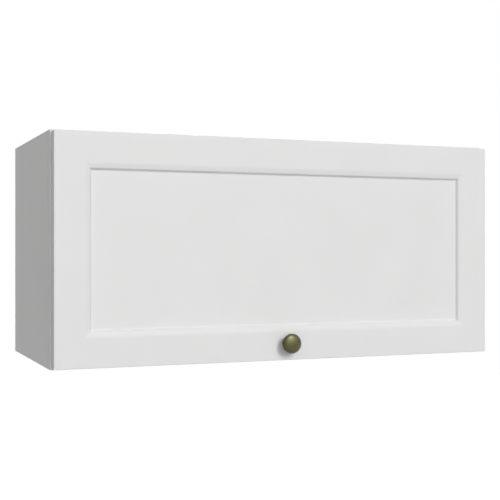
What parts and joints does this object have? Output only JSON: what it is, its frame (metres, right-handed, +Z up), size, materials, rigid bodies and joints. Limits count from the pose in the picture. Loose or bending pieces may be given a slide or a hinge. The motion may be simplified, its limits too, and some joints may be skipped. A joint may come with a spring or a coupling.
{
  "type": "lift up wall cabinet",
  "caption": "Horizontal wall cabinet with a framed, top-hung door that lifts on concealed cup hinges and gas struts; round knob at the bottom and adjustable hooks for a wall rail.",
  "frame": {"origin": "centre of the underside of the closed cabinet's box, knob included", "axes": "+X along the width to the right as seen from the front, +Y towards the wall, +Z up; the door faces -Y"},
  "size_m": [0.76, 0.365, 0.36],
  "materials": {
    "door_foil": "satin white foil over fibreboard",
    "carcass_laminate": "matt white laminate over chipboard",
    "back_board": "white-faced hardboard",
    "antique_brass": "dark antique brass, satin",
    "nickel_steel": "nickel-plated pressed steel",
    "zinc": "bright zinc plate",
    "painted_tube": "light grey enamel",
    "chrome_rod": "polished",
    "grey_nylon": "moulded",
    "white_plastic": "moulded, satin",
    "clear_rubber": "translucent soft plastic"
  },
  "bodies": {
    "cabinet": {"side_panel_left": "carcass_laminate", "side_panel_right": "carcass_laminate", "top_panel": "carcass_laminate", "bottom_panel": "carcass_laminate", "back_panel": "back_board", "cam_top_front_left": "zinc", "cam_top_front_right": "zinc", "cam_top_rear_left": "zinc", "cam_top_rear_right": "zinc", "cam_bottom_front_left": "zinc", "cam_bottom_front_right": "zinc", "cam_bottom_rear_left": "zinc", "cam_bottom_rear_right": "zinc", "cam_bolt_top_front_left": "zinc", "cam_bolt_top_front_right": "zinc", "cam_bolt_top_rear_left": "zinc", "cam_bolt_top_rear_right": "zinc", "cam_bolt_bottom_front_left": "zinc", "cam_bolt_bottom_front_right": "zinc", "cam_bolt_bottom_rear_left": "zinc", "cam_bolt_bottom_rear_right": "zinc", "hanger_housing_left": "white_plastic", "hanger_housing_right": "white_plastic", "hanger_hook_left": "zinc", "hanger_hook_right": "zinc", "hanger_height_screw_left": "zinc", "hanger_height_screw_right": "zinc", "hanger_depth_screw_left": "zinc", "hanger_depth_screw_right": "zinc", "hinge_plate_left": "nickel_steel", "hinge_plate_right": "nickel_steel", "hinge_arm_left": "nickel_steel", "hinge_arm_right": "nickel_steel", "hinge_adjusting_screw_left": "zinc", "hinge_adjusting_screw_right": "zinc", "hinge_fixing_screw_left": "zinc", "hinge_fixing_screw_right": "zinc", "strut_side_bracket_left": "zinc", "strut_side_bracket_right": "zinc"},
    "door": {"door": "door_foil", "knob": "antique_brass", "knob_screw": "zinc", "bumper_left": "clear_rubber", "bumper_right": "clear_rubber", "hinge_cup_left": "nickel_steel", "hinge_cup_right": "nickel_steel", "strut_door_bracket_left": "zinc", "strut_door_bracket_right": "zinc"},
    "outer_link_left": {"hinge_outer_link_left": "nickel_steel"},
    "inner_link_left": {"hinge_inner_link_left": "nickel_steel"},
    "strut_rod_left": {"strut_rod_left": "chrome_rod", "strut_rod_end_left": "grey_nylon"},
    "strut_cylinder_left": {"strut_cylinder_left": "painted_tube", "strut_cylinder_end_left": "grey_nylon"},
    "outer_link_right": {"hinge_outer_link_right": "nickel_steel"},
    "inner_link_right": {"hinge_inner_link_right": "nickel_steel"},
    "strut_rod_right": {"strut_rod_right": "chrome_rod", "strut_rod_end_right": "grey_nylon"},
    "strut_cylinder_right": {"strut_cylinder_right": "painted_tube", "strut_cylinder_end_right": "grey_nylon"}
  },
  "joints": [
    {"name": "door_hinge", "type": "hinge", "parent": "cabinet", "child": "door", "pos_m": [0, -0.1475, 0.3515], "axis": [-1, 0, 0], "range_deg": [0, 90]},
    {"name": "outer_link_left_pin", "type": "hinge", "parent": "cabinet", "child": "outer_link_left", "pos_m": [-0.28, -0.1475, 0.3275], "axis": [1, 0, 0], "range_deg": [0, 39.69]},
    {"name": "inner_link_left_pin", "type": "hinge", "parent": "cabinet", "child": "inner_link_left", "pos_m": [-0.28, -0.13988, 0.33355], "axis": [1, 0, 0], "range_deg": [0, 27.98]},
    {"name": "strut_left_swing", "type": "hinge", "parent": "cabinet", "child": "strut_rod_left", "pos_m": [-0.344, -0.1005, 0.107], "axis": [1, 0, 0], "range_deg": [0, 22.93]},
    {"name": "strut_left_stroke", "type": "slide", "parent": "strut_rod_left", "child": "strut_cylinder_left", "axis": [0, -0.083, 0.9965], "range_m": [0, 0.05936]},
    {"name": "outer_link_right_pin", "type": "hinge", "parent": "cabinet", "child": "outer_link_right", "pos_m": [0.28, -0.1475, 0.3275], "axis": [1, 0, 0], "range_deg": [0, 39.69]},
    {"name": "inner_link_right_pin", "type": "hinge", "parent": "cabinet", "child": "inner_link_right", "pos_m": [0.28, -0.13988, 0.33355], "axis": [1, 0, 0], "range_deg": [0, 27.98]},
    {"name": "strut_right_swing", "type": "hinge", "parent": "cabinet", "child": "strut_rod_right", "pos_m": [0.344, -0.1005, 0.107], "axis": [1, 0, 0], "range_deg": [0, 22.93]},
    {"name": "strut_right_stroke", "type": "slide", "parent": "strut_rod_right", "child": "strut_cylinder_right", "axis": [0, -0.083, 0.9965], "range_m": [0, 0.05936]}
  ],
  "couplings": [
    {"joint": "outer_link_left_pin", "follows": "door_hinge", "ratio": 0.44093},
    {"joint": "inner_link_left_pin", "follows": "door_hinge", "ratio": 0.31087},
    {"joint": "strut_left_swing", "follows": "door_hinge", "ratio": 0.2547},
    {"joint": "strut_left_stroke", "follows": "door_hinge", "m_per_rad": 0.037785},
    {"joint": "outer_link_right_pin", "follows": "door_hinge", "ratio": 0.44093},
    {"joint": "inner_link_right_pin", "follows": "door_hinge", "ratio": 0.31087},
    {"joint": "strut_right_swing", "follows": "door_hinge", "ratio": 0.2547},
    {"joint": "strut_right_stroke", "follows": "door_hinge", "m_per_rad": 0.037785}
  ]
}
